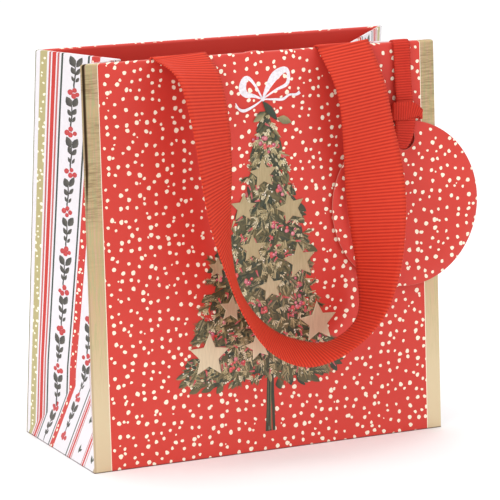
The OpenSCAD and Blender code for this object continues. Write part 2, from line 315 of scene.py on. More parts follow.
def printed_card():
    """The printed sheet. Its UV map is the flat sheet in mm: u runs round the bag from the middle of
    the front, v up the sheet and on into the hem."""
    paint = Paint("printed_card")
    flat = paint.sheet_mm()
    u, v, _ = paint.xyz(flat)
    around = paint.math("ABSOLUTE", u)

    # dots on the panels and stripes on the gussets
    red = paint.mix(paint.noise(flat, 0.03), RED_DEEP, RED)
    on_stripes = paint.between(around, HALF_FRONT, BACK_FOLD)
    colour = paint.mix(on_stripes, dotted_red(paint, flat, red), striped_colour(paint, flat, around))

    # hem: plain red, with the dots running just over the fold, and a faint painted highlight along the fold
    colour = paint.mix(paint.math("GREATER_THAN", v, FOLD_V + 1.4), colour, red)
    # painted highlight along the rim's fold
    fold = paint.between(v, FOLD_V - 0.2, FOLD_V + 1.0)
    colour = paint.mix(paint.times(fold, 0.12), colour, RIM_FOLD_HIGHLIGHT)

    # gold foil down the panels' edges, carried round onto the gussets
    edge = paint.either(paint.between(u, -HALF_FRONT - STRIP_ROUND, STRIP_IN + 0.8 - HALF_FRONT),
                        paint.between(u, HALF_FRONT - STRIP_IN, HALF_FRONT + STRIP_ROUND),
                        paint.between(around, BACK_FOLD - 0.6, BACK_FOLD + STRIP_IN))
    on_foil = paint.times(edge, paint.math("LESS_THAN", v, FOLD_V + 0.5))
    colour = paint.mix(on_foil, colour, gold_colour(paint, flat, u, around, v))

    # a dark line along the foot
    foot = paint.times(paint.math("LESS_THAN", v, 0.45), 0.75)
    colour = paint.mix(foot, colour, FOOT_DARK)
    sheen = paint.math("MULTIPLY_ADD", paint.noise(flat, 0.35), 0.08, 0.36)
    roughness = paint.math("MULTIPLY_ADD", on_foil, -0.08, sheen)
    paint.shader_values(Base_Color=colour, Metallic=paint.times(on_foil, 0.8), Roughness=roughness,
                        Specular_IOR_Level=0.3)
    card_surface(paint, flat)
    return paint.material


def plain_card(name, light, dark, roughness=0.7):
    """Unprinted paper or greyboard, with faint fibres"""
    paint = Paint(name)
    fibre = paint.noise(paint.place(), 480.0, 4.0, 0.65, stretch=(1.0, 1.0, 3.0))
    paint.shader_values(Base_Color=paint.mix(fibre, (*light, 1), (*dark, 1)), Roughness=roughness)
    paint.bump(fibre, 0.00005, 0.5)
    return paint.material


def dotted_card():
    """The tag's face: the same print as the panels"""
    paint = Paint("dotted_card")
    flat = paint.sheet_mm()
    red = paint.mix(paint.noise(flat, 0.05), RED_DEEP, RED)
    paint.shader_values(Base_Color=dotted_red(paint, flat, red), Roughness=0.42, Specular_IOR_Level=0.3)
    card_surface(paint, flat)
    return paint.material


def grosgrain(name, rib, low, high):
    """Ribbed ribbon. Its UV map is in mm, with v along the ribbon; rib is the pitch of its ribs, low and high
    the colours in their grooves and on their crests: painted shade in the grooves and a painted highlight on
    the crests."""
    paint = Paint(name)
    flat = paint.sheet_mm()
    u, v, _ = paint.xyz(flat)
    # painted shade in the ribs' grooves and painted highlight on their crests
    crest = paint.math("POWER", paint.wave("COSINE", v, rib), 0.8)
    thread = paint.wave("SINE", u, 0.32)
    wear = paint.times(paint.noise(flat, 0.25, 3.0), 0.2)
    colour = paint.mix(wear, paint.mix(crest, (*low, 1), (*high, 1)), (0.80, 0.08, 0.035, 1))
    paint.shader_values(Base_Color=colour, Roughness=0.6, Specular_IOR_Level=0.15, Sheen_Weight=0.05,
                        Sheen_Roughness=0.4, Sheen_Tint=(1.0, 0.45, 0.35, 1))
    paint.bump(paint.math("MULTIPLY_ADD", thread, 0.35, paint.noise(flat, 2.5)), 0.00005, 0.5)
    return paint.material


def painted_print():
    """Ink of the painted artwork. The colour is kept in the mesh's own colour attribute."""
    paint = Paint("painted_print")
    ink = paint.node("ShaderNodeVertexColor", layer_name="ink").outputs["Color"]
    shade = paint.math("MULTIPLY_ADD", paint.noise(paint.place(), 900.0, 4.0, 0.7), 0.9, 0.55)
    paint.shader_values(Base_Color=paint.vector("MULTIPLY", ink, shade), Roughness=0.42)
    return paint.material


def star_foil():
    """Brushed gold whose painted reflection darkens up the tree"""
    paint = Paint("gold_foil")
    place = paint.place()
    brushed = paint.noise(place, 1500.0, 3.0, 0.6, stretch=(1.0, 1.0, 0.1))
    # painted reflection: pale stars low on the tree, darker ones higher up
    up_tree = paint.rising(paint.xyz(place)[2], 0.04, 0.09)
    colour = paint.mix(up_tree, paint.mix(brushed, *STAR_LOW_REFLECTION), paint.mix(brushed, *STAR_HIGH_REFLECTION))
    paint.shader_values(Base_Color=colour, Metallic=0.45, Roughness=0.5)
    paint.bump(brushed, 0.00003, 0.4)
    return paint.material


# ---------------------------------------------------------------- mesh helpers


def new_object(name, mesh, materials):
    obj = bpy.data.objects.new(name, mesh)
    for material in materials:
        mesh.materials.append(material)
    bpy.context.collection.objects.link(obj)
    return obj


def mesh_of(name, points_mm, faces, uv=None, slots=None, smooth=True):
    """A mesh from points in mm. uv is one (u, v) for each corner of each face."""
    mesh = bpy.data.meshes.new(name)
    mesh.from_pydata([tuple(c * MM for c in p) for p in points_mm], [], faces)
    if uv is not None:
        layer = mesh.uv_layers.new(name="sheet")
        layer.data.foreach_set("uv", np.asarray(uv, dtype=np.float32).ravel())
    if slots is not None:
        mesh.polygons.foreach_set("material_index", slots)
    mesh.polygons.foreach_set("use_smooth", [smooth] * len(mesh.polygons))
    mesh.update()
    return mesh


def lerp(a, b, t):
    return a + (b - a) * t


def unit(v):
    return v / np.linalg.norm(v)


# ---------------------------------------------------------------- the folded sheet

BAG_H, BASE_D, MOUTH_D = 168.0, 71.0, 45.0
LEAN = math.atan2((BASE_D - MOUTH_D) / 2, BAG_H)
PANEL_H = BAG_H / math.cos(LEAN)
HALF_SHEET = BASE_D / 2
CREASE_V = HALF_SHEET / math.cos(LEAN)
HALF_AT_CREASE = HALF_SHEET - (BASE_D - MOUTH_D) / 2 * HALF_SHEET / BAG_H
APEX_IN = math.sqrt(HALF_SHEET ** 2 - HALF_AT_CREASE ** 2)
APEX = np.array([HALF_FRONT - APEX_IN, 0, math.sqrt(HALF_SHEET ** 2 - APEX_IN ** 2)])
CREASE_TOP = np.array([HALF_FRONT - math.sqrt(HALF_SHEET ** 2 - (MOUTH_D / 2) ** 2), 0,
                       BAG_H - HALF_SHEET + APEX[2]])
UP = np.array([0, math.sin(LEAN), math.cos(LEAN)])
INWARD = np.array([0, math.cos(LEAN), -math.sin(LEAN)])
SHEET_T = 0.4
PANEL_FOLD = 1.1    # radius of the rim's fold over the board
GUSSET_FOLD = 0.45  # radius of the rim's fold without a board
FRONT_CREASE_R, CREASE_R = 1.0, 0.4  # rounding of the front's upright creases and of all others
HEM_H = 46.0
LIP = 0.8           # how far the sheet turns under the base
PANEL_COLUMNS, GUSSET_COLUMNS = 30, 12
UPPER_ROWS, FOLD_ROWS, HEM_ROWS = 24, 6, 4
QUARTER = HALF_FRONT + HALF_SHEET


def corner_post(v):
    return np.array([HALF_FRONT, -HALF_SHEET, 0]) + UP * v


def crease_post(v):
    t = (v - CREASE_V) / (PANEL_H - CREASE_V)
    return lerp(APEX, CREASE_TOP, t)


def gusset_in(v):
    along = unit(crease_post(v) - corner_post(v))
    return along, unit(np.cross(UP, along))


def sheet_point(a, v):
    """The sheet's outer face on the front right quarter: a from the middle of the front, v up it, mm"""
    corner = corner_post(v)
    if a <= HALF_FRONT:
        return np.array([a, corner[1], corner[2]])
    u = a - HALF_FRONT
    if v >= CREASE_V:
        bow = 0.7 * math.sin(math.pi * u / HALF_SHEET) * math.sin(math.pi * min(1, (v - CREASE_V) / 110))
        return lerp(corner, crease_post(v), u / HALF_SHEET) + gusset_in(v)[1] * bow
    base = corner_post(0)
    t, w = u / HALF_SHEET, v / CREASE_V
    if w >= t:
        edge_low = corner_post(CREASE_V)
        return base + (APEX - edge_low) * t + (edge_low - base) * w
    middle = np.array([HALF_FRONT, 0, 0])
    return base + (middle - base) * t + (APEX - middle) * w


def near(a, b):
    return abs(a - b) < 0.01


def fold_radius(a):
    if near(a, HALF_FRONT):
        return (PANEL_FOLD + GUSSET_FOLD) / 2
    return PANEL_FOLD if a < HALF_FRONT else GUSSET_FOLD


def hem_offset(a, v):
    """From the outer face to the hem's visible face, mitred at the corners"""
    along, inward = gusset_in(v)
    back_along = np.array([-1.0, 0, 0])
    mitre = (2 * GUSSET_FOLD - 2 * PANEL_FOLD * INWARD.dot(inward)) / back_along.dot(inward)
    if a <= HALF_FRONT:
        return back_along * mitre * a / HALF_FRONT + INWARD * 2 * PANEL_FOLD
    at_corner = back_along * mitre + INWARD * 2 * PANEL_FOLD
    at_crease = -inward[1] * 2 * GUSSET_FOLD / along[1]
    shift = lerp(at_corner.dot(along), at_crease, (a - HALF_FRONT) / HALF_SHEET)
    return inward * 2 * GUSSET_FOLD + along * shift


def pucker(x):
    """The small lift of the front rim's fold"""
    return math.exp(-((x + 4.0) / 2.4) ** 2)


def sheet_column(a):
    """Points of one column of the sheet from the base's lip to the hem's edge, and their v"""
    radius = fold_radius(a)
    top = PANEL_H - radius
    points, heights = [], []
    base = sheet_point(a, 0)
    shrink = (HALF_FRONT - LIP) / HALF_FRONT, (HALF_SHEET - LIP) / HALF_SHEET
    points.append(np.array([base[0] * shrink[0], base[1] * shrink[1], 0]))
    heights.append(-LIP)
    levels = [CREASE_V * j / GUSSET_COLUMNS for j in range(GUSSET_COLUMNS)]
    levels += [lerp(CREASE_V, top, j / UPPER_ROWS) for j in range(UPPER_ROWS + 1)]
    for v in levels:
        points.append(sheet_point(a, v))
        heights.append(v)
    crest = sheet_point(a, top)
    offset = hem_offset(a, top)
    for k in range(1, FOLD_ROWS + 1):
        turn = math.pi * k / FOLD_ROWS
        points.append(crest + offset * (1 - math.cos(turn)) / 2 + UP * radius * math.sin(turn))
        heights.append(top + radius * turn)
    for j in range(1, HEM_ROWS + 1):
        down = HEM_H * j / HEM_ROWS
        points.append(sheet_point(a, top - down) + hem_offset(a, top - down))
        heights.append(top + radius * math.pi + down)
    return points, heights


def ring_stations():
    """Signed places round the bag, from the middle of the back, over the left side, and back to it"""
    quarter = [HALF_FRONT * k / PANEL_COLUMNS for k in range(PANEL_COLUMNS)]
    quarter += [HALF_FRONT + HALF_SHEET * k / GUSSET_COLUMNS for k in range(GUSSET_COLUMNS + 1)]
    half = quarter + [2 * QUARTER - a for a in reversed(quarter[:-1])]
    return [-a for a in reversed(half[1:])] + half


def folded_sheet_mesh():
    stations = ring_stations()
    last = len(stations) - 1
    crest = GUSSET_COLUMNS + UPPER_ROWS + 1
    columns = {}
    points, index, heights = [], {}, {}
    for i, s in enumerate(stations[:-1]):
        a = abs(s)
        rear = a > QUARTER + 0.001
        quarter_a = 2 * QUARTER - a if rear else a
        key = round(quarter_a, 4)
        if key not in columns:
            columns[key] = sheet_column(quarter_a)
        column, levels = columns[key]
        for j, (x, y, z) in enumerate(column):
            lift = pucker(s) if crest <= j <= crest + FOLD_ROWS and a < 20 else 0.0
            index[i, j] = len(points)
            points.append(((x if s >= 0 else -x), (-y if rear else y) - 0.5 * lift, z + 0.8 * lift))
        heights[i] = levels
    heights[last] = heights[0]
    for j in range(len(heights[0])):
        index[last, j] = index[0, j]
    faces, uv = [], []
    for i in range(last):
        for j in range(len(heights[0]) - 1):
            corners = [(i, j), (i + 1, j), (i + 1, j + 1), (i, j + 1)]
            for face in split_at_crease(corners, stations, i, j):
                faces.append([index[c] for c in face])
                uv += [(stations[c[0]], heights[c[0]][c[1]]) for c in face]
    mesh = mesh_of("folded_sheet", points, faces, uv)
    mark_creases(mesh, stations, index)
    return mesh


def gusset_step(s):
    """How many columns a station lies from the nearest vertical edge of the bag"""
    inward = HALF_SHEET - abs(abs(s) - QUARTER)
    return round(inward * GUSSET_COLUMNS / HALF_SHEET)


def split_at_crease(corners, stations, i, j):
    """Cuts a quad in two where a diagonal crease of the gusset crosses it"""
    row = j - 1
    a, b = gusset_step(stations[i]), gusset_step(stations[i + 1])
    if not 0 <= row < GUSSET_COLUMNS or min(a, b) != row or min(a, b) < 0:
        return [corners]
    p, q, r, s = corners
    return [[p, q, r], [p, r, s]] if b > a else [[p, q, s], [q, r, s]]


def mark_creases(mesh, stations, index):
    """Gives every folded edge a bevel weight"""
    place = {v: key for key, v in index.items() if key[0] < len(stations) - 1}
    distance = [abs(s) for s in stations[:-1]]
    folds = {k for k, a in enumerate(distance) if near(a, HALF_FRONT) or near(a, BACK_FOLD)}
    middles = {k for k, a in enumerate(distance) if near(a, QUARTER)}
    weight = mesh.attributes.new("bevel_weight_edge", "FLOAT", "EDGE")
    for edge in mesh.edges:
        (i0, j0), (i1, j1) = place[edge.vertices[0]], place[edge.vertices[1]]
        upright = i0 == i1 and max(j0, j1) > 1
        folded = upright and i0 in folds
        folded |= upright and i0 in middles and min(j0, j1) > GUSSET_COLUMNS
        folded |= j0 == j1 == 1
        on_gusset = min(gusset_step(stations[i0]), gusset_step(stations[i1])) >= 0
        folded |= j0 == j1 == GUSSET_COLUMNS + 1 and on_gusset
        folded |= i0 != i1 and j0 != j1
        round_front = upright and near(distance[i0], HALF_FRONT)
        size = 1.0 if round_front else CREASE_R / FRONT_CREASE_R
        weight.data[edge.index].value = size if folded else 0.0


def evaluated(obj):
    graph = bpy.context.evaluated_depsgraph_get()
    return bpy.data.meshes.new_from_object(obj.evaluated_get(graph))


def keep_faces(mesh, name, wanted):
    """A copy of a mesh with only the faces that wanted(distance round the bag, side) accepts"""
    work = bmesh.new()
    work.from_mesh(mesh)
    layer = work.loops.layers.uv["sheet"]
    gone = []
    for face in work.faces:
        around = sum(abs(loop[layer].uv.x) for loop in face.loops) / len(face.loops)
        side = sum(loop[layer].uv.x for loop in face.loops)
        if not wanted(around, side):
            gone.append(face)
    bmesh.ops.delete(work, geom=gone, context="FACES")
    part = bpy.data.meshes.new(name)
    work.to_mesh(part)
    work.free()
    return part


def make_bag(printed, inner):
    whole = new_object("folded_sheet", folded_sheet_mesh(), [printed, inner])
    bevel = whole.modifiers.new("creases", "BEVEL")
    bevel.limit_method = "WEIGHT"
    bevel.width = FRONT_CREASE_R * MM
    bevel.segments = 3
    thick = whole.modifiers.new("thickness", "SOLIDIFY")
    thick.thickness = SHEET_T * MM
    thick.offset = -1
    thick.material_offset = 1
    thick.material_offset_rim = 1
    mesh = evaluated(whole)
    bpy.data.objects.remove(whole)
    fold = HALF_FRONT + 0.5
    back = BACK_FOLD - 0.5
    sides = {
        "front_sheet": lambda around, side: around < fold,
        "back_sheet": lambda around, side: around > back,
        "left_gusset_sheet": lambda around, side: fold <= around <= back and side < 0,
        "right_gusset_sheet": lambda around, side: fold <= around <= back and side > 0,
    }
    pieces = {}
    for name, wanted in sides.items():
        pieces[name] = new_object(name, keep_faces(mesh, name, wanted), [printed, inner])
    return pieces


# ---------------------------------------------------------------- artwork


class Artwork:
    """Flat painted shapes, stacked so that later ones lie on earlier ones. Points are in mm."""

    CELL_MM = 1.0
    PLY = 0.0012

    def __init__(self):
        self.points, self.faces, self.inks = [], [], []
        self.stack = {}

    def level(self, outline):
        xs = [p[0] for p in outline]
        ys = [p[1] for p in outline]
        cells = [(i, j) for i in range(int(min(xs) // self.CELL_MM), int(max(xs) // self.CELL_MM) + 1)
                 for j in range(int(min(ys) // self.CELL_MM), int(max(ys) // self.CELL_MM) + 1)]
        top = 1 + max(self.stack.get(c, 0) for c in cells)
        for c in cells:
            self.stack[c] = top
        return top * self.PLY

    def top(self):
        return max(self.stack.values()) * self.PLY

    def add(self, points, faces, inks, height=None):
        height = self.level(points) if height is None else height
        first = len(self.points)
        self.points += [(x, y, height) for x, y in points]
        self.faces += [[first + k for k in face] for face in faces]
        self.inks += inks

    def leaf(self, x, y, angle, length, width, ink, light, bend=0.0):
        """A pointed leaf from its stem at (x, y), with a dark half, a light half and a middle rib"""
        shape = [(0.0, 0.12), (0.18, 0.62), (0.42, 1.0), (0.70, 0.78), (0.90, 0.34)]
        c, s = math.cos(angle), math.sin(angle)
        rib = tuple(lerp(a, b, 0.35) for a, b in zip(ink, light))
        points, inks = [], []
        for t, w in shape:
            for side in (-1, 0, 1):
                px = t * length
                py = side * w * width / 2 + bend * length * t * t
                points.append((x + c * px - s * py, y + s * px + c * py))
                inks.append((ink, rib, light)[side + 1])
        points.append((x + c * length - s * bend * length, y + s * length + c * bend * length))
        inks.append(light)
        faces = []
        for k in range(len(shape) - 1):
            a = 3 * k
            faces += [[a, a + 3, a + 4, a + 1], [a + 1, a + 4, a + 5, a + 2]]
        a = 3 * (len(shape) - 1)
        faces += [[a, a + 3, a + 1], [a + 1, a + 3, a + 2]]
        self.add(points, faces, inks)

    def disc(self, x, y, radius, ink, light, corners=10, squash=1.0, turn=0.0):
        points, inks = [(x - radius * 0.25, y + radius * 0.25)], [light]
        for k in range(corners):
            t = 2 * math.pi * k / corners
            px, py = radius * math.cos(t), radius * squash * math.sin(t)
            points.append((x + px * math.cos(turn) - py * math.sin(turn),
                           y + px * math.sin(turn) + py * math.cos(turn)))
            inks.append(ink)
        self.add(points, [[0, k + 1, (k + 1) % corners + 1] for k in range(corners)], inks)

    def stroke(self, path, widths, ink, end_ink=None, height=None):
        """A brush stroke of changing width along a path"""
        end_ink = end_ink or ink
        points, inks = [], []
        for k, (x, y) in enumerate(path):
            before, after = path[max(0, k - 1)], path[min(len(path) - 1, k + 1)]
            dx, dy = after[0] - before[0], after[1] - before[1]
            size = math.hypot(dx, dy) or 1.0
            nx, ny = -dy / size * widths[k] / 2, dx / size * widths[k] / 2
            tone = tuple(lerp(a, b, k / (len(path) - 1)) for a, b in zip(ink, end_ink))
            points += [(x + nx, y + ny), (x - nx, y - ny)]
            inks += [tone, tone]
        faces = [[2 * k, 2 * k + 1, 2 * k + 3, 2 * k + 2] for k in range(len(path) - 1)]
        self.add(points, faces, inks, height)

    def dash(self, x, y, angle, reach, widths, ink, end_ink, height=None):
        """A short straight stroke from (x, y)"""
        end = (x + math.cos(angle) * reach, y + math.sin(angle) * reach)
        self.stroke([(x, y), end], widths, ink, end_ink, height)

    def mesh(self, name, place):
        """place(x, y, height) turns a flat point into a point in mm"""
        mesh = mesh_of(name, [place(*p) for p in self.points], self.faces)
        ink = mesh.color_attributes.new("ink", "FLOAT_COLOR", "POINT")
        ink.data.foreach_set("color", np.array([(*c[:3], 1) for c in self.inks], dtype=np.float32).ravel())
        return mesh


def smooth_path(points, steps=8):
    """Catmull-Rom curve through points of any number of values, with the ends repeated"""
    p = [np.array(points[0])] + [np.array(q, dtype=float) for q in points] + [np.array(points[-1])]
    out = []
    for i in range(1, len(p) - 2):
        for k in range(steps):
            t = k / steps
            out.append(0.5 * (2 * p[i] + (p[i + 1] - p[i - 1]) * t
                              + (2 * p[i - 1] - 5 * p[i] + 4 * p[i + 1] - p[i + 2]) * t ** 2
                              + (3 * p[i] - p[i - 1] - 3 * p[i + 1] + p[i + 2]) * t ** 3))
    out.append(p[-2])
    return out


# The tree's reach to the left and right at heights up the panel, mm
TREE_SHAPE = [(147, 0.4, 0.4), (141, 2, 3.5), (134, 3.6, 6), (128, 5, 8), (114, 9.5, 12), (99, 16, 16.5),
              (85, 23, 19), (70, 29, 19.5), (62, 31, 23), (55, 33, 26), (48, 35, 27.5), (40, 38.5, 30),
              (36, 41, 33), (30, 39, 20), (25, 34, 10)]
# Foil stars: x, height up the panel, radius, turn in degrees
STARS = [(-1, 117.5, 6.6, 4), (-10.7, 104, 6.2, -4), (11.5, 102, 7.0, 14), (-7, 86.5, 6.2, 0),
         (15, 79.5, 8.0, 6), (-23.6, 80, 4.6, -6), (1, 69.5, 6.0, 8), (-17.7, 62.3, 5.8, -8),
         (23, 52.5, 9.2, 3), (-5.6, 45.2, 6.4, 10), (-28.6, 43.5, 9.6, -3)]
# Clusters of berries on the tree: x, height up the panel
CLUSTERS = [(-2, 131), (2, 128), (4, 96), (11, 92), (-15, 75), (-10, 72), (12, 60), (16, 62), (-14, 40),
            (-18, 36), (-8, 53), (2, 84), (-3, 60), (22, 42), (8, 110)]
BOW = (-0.2, 148.7)
GREENS = [(0.030, 0.036, 0.016), (0.055, 0.055, 0.022), (0.100, 0.085, 0.032), (0.16, 0.125, 0.050),
          (0.035, 0.050, 0.030)]
LIGHTS = [(0.24, 0.19, 0.080), (0.38, 0.30, 0.14), (0.58, 0.48, 0.26), (0.17, 0.16, 0.075)]
BERRIES = [(0.52, 0.035, 0.040), (0.60, 0.06, 0.05), (0.42, 0.045, 0.09), (0.56, 0.14, 0.17)]
CREAM_INK = (0.80, 0.70, 0.48)
WHITE_INK = (0.84, 0.80, 0.84)


def tree_reach(z, x):
    """How far the tree reaches at a height, on the side that x is on"""
    for (z1, left1, right1), (z0, left0, right0) in zip(TREE_SHAPE, TREE_SHAPE[1:]):
        if z0 <= z <= z1:
            t = (z - z0) / (z1 - z0)
            return lerp(left0, left1, t) if x < 0 else lerp(right0, right1, t)
    return 0.0


def tree_spots(rng, count, top, bottom, spread=1.0):
    """Random places in the tree, sorted from the bottom up"""
    spots = []
    while len(spots) < count:
        z = rng.uniform(bottom, top)
        x = rng.uniform(-44, 44)
        if abs(x) < tree_reach(z, x) * spread:
            spots.append((x, z))
    return sorted(spots, key=lambda spot: spot[1])


def outward(rng, x, swing):
    """A direction that hangs down and out from the trunk"""
    return math.atan2(-1.0, x / 16.0) + rng.uniform(-swing, swing)


def draw_needles(art, rng, x, z, angle, size):
    """A pine sprig: a stem with needles on both sides"""
    tip = (x + math.cos(angle) * size, z + math.sin(angle) * size)
    dark, light = rng.choice(GREENS), rng.choice(LIGHTS)
    low = (min(x, tip[0]) - 1, min(z, tip[1]) - 1)
    high = (max(x, tip[0]) + 1, max(z, tip[1]) + 1)
    height = art.level([low, high])
    art.stroke([(x, z), tip], [0.35, 0.2], dark, height=height)
    for k in range(10):
        t = 0.1 + 0.09 * k
        bx, bz = lerp(x, tip[0], t), lerp(z, tip[1], t)
        for side in (-1, 1):
            art.dash(bx, bz, angle + side * rng.uniform(0.45, 0.8), size * rng.uniform(0.30, 0.44),
                     [0.32, 0.12], dark, light, height)


def draw_berries(art, rng, x, z, count, spread):
    for _ in range(count):
        t, r = rng.uniform(0, 2 * math.pi), rng.uniform(0.2, 1) * spread
        bx, bz = x + r * math.cos(t), z + r * math.sin(t)
        ink = rng.choice(BERRIES)
        radius = rng.uniform(0.55, 1.05)
        art.disc(bx, bz, radius, ink, tuple(min(1, c * 1.25 + 0.10) for c in ink))
        if rng.random() < 0.6:
            art.disc(bx - 0.3 * radius, bz + 0.3 * radius, 0.2 * radius, WHITE_INK, WHITE_INK, 6)


def draw_trunk(art, rng):
    """Two dark strokes that part towards the foot, with a pale line between them"""
    for x0, x1, width in ((-0.6, -2.3, 1.5), (0.7, 0.9, 1.4), (0.0, -0.8, 1.2)):
        path = [(lerp(x0, x1, k / 6) + rng.uniform(-0.1, 0.1), lerp(40, 8.4, k / 6)) for k in range(7)]
        art.stroke(path, [width * rng.uniform(0.85, 1.1) for _ in path], rng.choice(GREENS[:2]), GREENS[0])
    art.stroke([(0.2, 34), (-0.3, 22), (-0.6, 9)], [0.2, 0.35, 0.3], LIGHTS[0])
    art.stroke([(-1.2, 30), (-1.6, 20), (-2.0, 12)], [0.2, 0.25, 0.2], LIGHTS[3])


def draw_ground(art, rng):
    """Dark strokes and broad dark leaves that fill the tree's shape"""
    for k in range(58):
        z = lerp(141, 34, k / 57)
        for side in (-1, 1):
            reach = tree_reach(z, side) * rng.uniform(0.70, 0.88)
            path = [(0, z + 2), (side * reach * 0.5, z + 0.3), (side * reach, z - reach * 0.16)]
            art.stroke(path, [3.6, 3.4, 1.2], rng.choice(GREENS[1:4]), rng.choice(GREENS))
    for x, z in tree_spots(rng, 330, 143, 30, 0.92):
        art.leaf(x, z, outward(rng, x, 0.5), rng.uniform(4.5, 8), rng.uniform(2.2, 3.8),
                 rng.choice(GREENS[:3]), rng.choice(GREENS[1:]), rng.uniform(-0.15, 0.15))


def draw_hem(art, rng):
    """Hanging leaves along the bottom of the tree"""
    for k in range(36):
        x = lerp(-41, 32, k / 35) + rng.uniform(-1, 1)
        z = lerp(35, 40, k / 35) + rng.uniform(-1.5, 2.5)
        if abs(x + 0.5) > 4:
            art.leaf(x * 0.95, z, outward(rng, x, 0.35), rng.uniform(5, 8), rng.uniform(1.6, 2.8),
                     rng.choice(GREENS), rng.choice(LIGHTS[:2] + GREENS[2:4]), rng.uniform(-0.2, 0.2))


def draw_detail(art, rng, x, z):
    """One small thing among the leaves: a leaf, a sprig, a brush mark, berries or specks"""
    kind = rng.random()
    angle = outward(rng, x, 1.3)
    if kind < 0.34:
        art.leaf(x, z, angle, rng.uniform(2.4, 4.8), rng.uniform(0.9, 2.0), rng.choice(GREENS),
                 rng.choice(LIGHTS), rng.uniform(-0.25, 0.25))
    elif kind < 0.58:
        draw_needles(art, rng, x, z, angle, rng.uniform(3.4, 6))
    elif kind < 0.72:
        art.leaf(x, z, angle, rng.uniform(1.6, 3.0), rng.uniform(0.5, 1.1), rng.choice(LIGHTS), CREAM_INK)
    elif kind < 0.82:
        art.dash(x, z, angle, 4, [0.9, 0.3], rng.choice(LIGHTS), rng.choice(LIGHTS))
    elif kind < 0.86:
        draw_berries(art, rng, x, z, rng.randint(1, 4), 2.0)
    elif kind < 0.92:
        for _ in range(4):
            art.disc(x + rng.uniform(-2, 2), z + rng.uniform(-2, 2), rng.uniform(0.2, 0.45), CREAM_INK,
                     WHITE_INK, 6)
    else:
        art.dash(x, z, angle, 3, [1.0, 0.3], (0.46, 0.06, 0.045), BERRIES[3])


def draw_highlights(art, rng):
    """Fans of light marks, some red ones and a few dark gaps, painted last"""
    for x, z in tree_spots(rng, 190, 144, 31, 0.97) + tree_spots(rng, 26, 143, 122, 1.0):
        angle = outward(rng, x, 1.0)
        ink = rng.choice(LIGHTS[1:3] + [CREAM_INK])
        for spread in (-0.7, -0.25, 0.25, 0.7):
            art.dash(x, z, angle + spread, rng.uniform(1.4, 2.8), [0.25, 0.5], rng.choice(LIGHTS), ink)
    for x, z in tree_spots(rng, 70, 142, 32, 0.9):
        angle = outward(rng, x, 1.5)
        art.leaf(x, z, angle, rng.uniform(2.0, 3.4), rng.uniform(1.0, 1.6), GREENS[0], GREENS[4])
    for x, z in tree_spots(rng, 80, 142, 32, 0.9):
        art.dash(x, z, outward(rng, x, 1.5), 2.4, [0.9, 0.4], BERRIES[1], BERRIES[3])


def draw_tree(art, rng):
    draw_trunk(art, rng)
    draw_ground(art, rng)
    draw_hem(art, rng)
    for x, z in tree_spots(rng, 900, 144, 31, 0.97):
        draw_detail(art, rng, x, z)
    draw_highlights(art, rng)
    for x, z in CLUSTERS:
        draw_berries(art, rng, x, z, 5, 3.0)


def draw_crown(art):
    """A dark pointed leaf under the bow, with a pale leaf on either side"""
    x, z = BOW
    art.leaf(x, z - 1, math.radians(-52), 10.5, 3.4, GREENS[0], GREENS[4])
    art.leaf(x + 6.5, z - 8.6, math.radians(-8), 6.8, 3.6, LIGHTS[3], LIGHTS[1], -0.15)
    art.leaf(x + 0.2, z - 6.6, math.radians(202), 5.6, 2.6, LIGHTS[3], LIGHTS[1], 0.1)


def draw_bow(art):
    """A loosely painted white bow at the top of the tree"""
    x, z = BOW
    loops = [
        ([(0, 0), (-4, 1.6), (-7.6, 2.4), (-9.2, 5.0), (-8.0, 8.6), (-5.8, 8.8), (-2.8, 5.2), (0, 0)],
         [0.6, 1.4, 2.6, 3.4, 2.6, 1.5, 1.0, 0.6]),
        ([(0, 0), (3.0, 5.4), (6.4, 9.6), (10.6, 11.6), (12.4, 9.8), (11.6, 5.6), (6.4, 3.4), (0, 0)],
         [0.6, 2.6, 3.8, 2.6, 1.5, 1.6, 1.0, 0.5]),
        ([(0, 0), (-4, -2.4), (-8.6, -4.2), (-11.2, -3.4), (-12.8, -0.8)], [0.5, 0.9, 1.3, 1.0, 0.4]),
        ([(0, 0), (5, -0.4), (9.2, -0.6), (12.4, 1.0), (15.6, 0.9), (17.4, 1.8)],
         [0.5, 0.9, 1.2, 0.9, 1.1, 1.6]),
    ]
    for points, widths in loops:
        path = smooth_path([(x + px, z + pz, w) for (px, pz), w in zip(points, widths)], 5)
        art.stroke([(p[0], p[1]) for p in path], [p[2] for p in path], WHITE_INK)
    art.disc(x, z, 0.9, WHITE_INK, WHITE_INK)


def star_mesh(name, stars, place, ground):
    """Embossed five-pointed stars: a rim just over the painted artwork and a raised face"""
    points, faces = [], []
    for x, z, radius, turn in stars:
        first = len(points)
        for inset, height in ((0.0, ground + 0.02), (0.32, ground + 0.13)):
            for k in range(10):
                reach = (radius if k % 2 == 0 else radius * 0.47) - inset * (1.5 if k % 2 == 0 else 1)
                t = math.radians(90 + turn + 36 * k)
                points.append(place(x + reach * math.cos(t), z + reach * math.sin(t), height))
        points.append(place(x, z, ground + 0.13))
        for k in range(10):
            a, b = first + k, first + (k + 1) % 10
            faces.append([a, b, b + 10, a + 10])
            faces.append([a + 10, b + 10, first + 20])
    return mesh_of(name, points, faces, smooth=False)


def on_front(x, z, height):
    p = corner_post(z) - INWARD * height
    return (x, p[1], p[2])


def on_back(x, z, height):
    p = on_front(x, z, height)
    return (-p[0], -p[1], p[2])


def on_gusset(side):
    """Places a point of the flat gusset, (distance round the bag, height), on its folded outer face"""
    def place(a, v, height):
        rear = a > QUARTER
        quarter = min(2 * QUARTER - a if rear else a, QUARTER - 0.001)
        p = sheet_point(quarter, v)
        du = sheet_point(quarter - 0.01, v) - p
        dv = sheet_point(quarter, v + 0.01) - p
        p = p + unit(np.cross(dv, du)) * (height + 0.02)
        return (side * p[0], -p[1] if rear else p[1], p[2])
    return place


GARLAND_TOP, SPRIG_TOP = 153, 162


